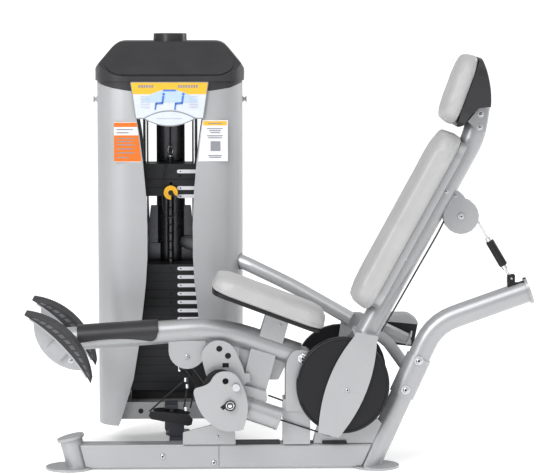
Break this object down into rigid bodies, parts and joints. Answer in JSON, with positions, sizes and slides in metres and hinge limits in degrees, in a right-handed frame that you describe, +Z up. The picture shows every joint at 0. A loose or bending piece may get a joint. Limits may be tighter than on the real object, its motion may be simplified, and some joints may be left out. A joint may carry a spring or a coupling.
{
  "type": "seated leg machine",
  "caption": "Selectorised seated leg machine: rocking arm with seat and curved footplates, reclined back frame with cable cams, and a shrouded weight-stack tower.",
  "frame": {"origin": "middle of the object's box in plan, on the floor", "axes": "+X from the footplates to the head pad, +Y from the seat to the weight tower, +Z up"},
  "size_m": [1.7028, 0.946, 1.45],
  "materials": {
    "frame_coat": "fine metallic powder coat, satin",
    "shroud_coat": "smooth silver powder coat on sheet, satin",
    "dark_coat": "charcoal powder coat",
    "black_coat": "black textured coat, matte",
    "black_steel": "black coat, satin",
    "dark_plastic": "moulded, light texture, satin",
    "black_plastic": "moulded, satin",
    "yellow_plastic": "glossy",
    "placard": "printed face, gloss",
    "vinyl": "light grey upholstery vinyl, fine grain",
    "tread_rubber": "ribbed, matte",
    "black_rubber": "matte",
    "cable": "nylon-coated cable, satin",
    "chrome": "polished"
  },
  "bodies": {
    "frame": {"base_beam": "frame_coat", "front_foot": "frame_coat", "front_cap": "frame_coat", "rear_foot": "frame_coat", "rear_sleeve": "frame_coat", "rear_upright": "frame_coat", "pivot_post": "frame_coat", "arm_pivot_pin": "chrome", "shaft_stand": "frame_coat", "tie_frame": "frame_coat", "side_cover": "black_plastic", "cable_bracket": "frame_coat", "tower_base": "frame_coat", "cross_tube": "dark_coat", "shroud_left": "shroud_coat", "shroud_right": "shroud_coat", "top_cap": "dark_plastic", "placard": "placard", "mast": "black_steel", "guide_rods": "chrome", "drive_cable": "cable", "lower_cables": "cable", "stack_cushion": "black_rubber", "floor_bracket": "dark_coat", "stack_block": "black_steel", "stack_plate_2": "black_steel", "stack_plate_1": "black_steel"},
    "carriage": {"head_plate": "black_steel", "addon_plate_upper": "black_steel", "addon_plate_lower": "black_steel", "selector_stem": "chrome", "lift_cable": "cable", "pin_lanyard": "cable"},
    "pin": {"selector_pin": "yellow_plastic"},
    "arm": {"arm_tube": "frame_coat", "arm_cover": "dark_plastic", "seat_bracket": "frame_coat", "seat_board": "black_plastic", "seat_pad": "vinyl", "arm_pulley_guard": "frame_coat", "arm_lower_frame": "frame_coat", "strut_cable": "cable", "footplate_frame": "frame_coat", "footplate_near": "tread_rubber", "footplate_far": "tread_rubber"},
    "arm_wheel": {"arm_pulley": "black_plastic"},
    "start_cam": {"cam_plate": "frame_coat"},
    "start_pin": {"plunger": "chrome"},
    "cams": {"near_cam": "black_coat", "cam_shaft": "black_coat"},
    "back": {"back_frame": "frame_coat", "back_board": "frame_coat", "back_pad": "vinyl", "head_pad": "vinyl", "head_shell": "dark_plastic", "back_pulley_guard": "frame_coat", "back_cable": "cable"},
    "back_wheel": {"back_pulley": "black_plastic"},
    "link": {"tension_link": "chrome"},
    "floor_wheel": {"floor_pulley": "black_plastic"}
  },
  "joints": [
    {"name": "arm_rock", "type": "hinge", "parent": "frame", "child": "arm", "pos_m": [0.06862, -0.227, 0.38], "axis": [0, 1, 0], "range_deg": [0, 10]},
    {"name": "cam_turn", "type": "hinge", "parent": "frame", "child": "cams", "pos_m": [0.21662, -0.227, 0.278], "axis": [0, 1, 0], "range_deg": [0, 13]},
    {"name": "back_recline", "type": "hinge", "parent": "frame", "child": "back", "pos_m": [0.21662, -0.227, 0.278], "axis": [0, 1, 0], "range_deg": [0, 2.6]},
    {"name": "link_swing", "type": "hinge", "parent": "frame", "child": "link", "pos_m": [0.77262, -0.227, 0.642], "axis": [0, 1, 0], "range_deg": [0, 3.3]},
    {"name": "carriage_lift", "type": "slide", "parent": "frame", "child": "carriage", "axis": [0, 0, 1], "range_m": [0, 0.14], "deforming": ["lift_cable"]},
    {"name": "selector_pin_slide", "type": "slide", "parent": "carriage", "child": "pin", "axis": [0, -1, 0], "range_m": [0, 0.06]},
    {"name": "start_cam_turn", "type": "hinge", "parent": "arm", "child": "start_cam", "pos_m": [-0.17538, -0.339, 0.233], "axis": [0, 1, 0], "range_deg": [0, 20]},
    {"name": "start_pin_pull", "type": "slide", "parent": "start_cam", "child": "start_pin", "axis": [0, -1, 0], "range_m": [0, 0.012], "stiffness_N_per_m": 600},
    {"name": "arm_pulley_spin", "type": "hinge", "parent": "arm", "child": "arm_wheel", "pos_m": [-0.31838, -0.227, 0.384], "axis": [0, 1, 0], "range_deg": [-130, 0]},
    {"name": "back_pulley_spin", "type": "hinge", "parent": "back", "child": "back_wheel", "pos_m": [0.60062, -0.227, 0.853], "axis": [0, 1, 0], "range_deg": [-42, 0]},
    {"name": "floor_pulley_spin", "type": "hinge", "parent": "frame", "child": "floor_wheel", "pos_m": [-0.37438, -0.077, 0.158], "axis": [0.0998, 0, 0.995], "range_deg": [0, 72]}
  ],
  "couplings": [
    {"joint": "cam_turn", "follows": "arm_rock", "ratio": 1.28},
    {"joint": "back_recline", "follows": "arm_rock", "ratio": 0.25},
    {"joint": "link_swing", "follows": "arm_rock", "ratio": 0.315},
    {"joint": "carriage_lift", "follows": "arm_rock", "m_per_rad": 0.78},
    {"joint": "arm_pulley_spin", "follows": "arm_rock", "ratio": -12.6},
    {"joint": "back_pulley_spin", "follows": "arm_rock", "ratio": -4},
    {"joint": "floor_pulley_spin", "follows": "arm_rock", "ratio": 6.8}
  ]
}
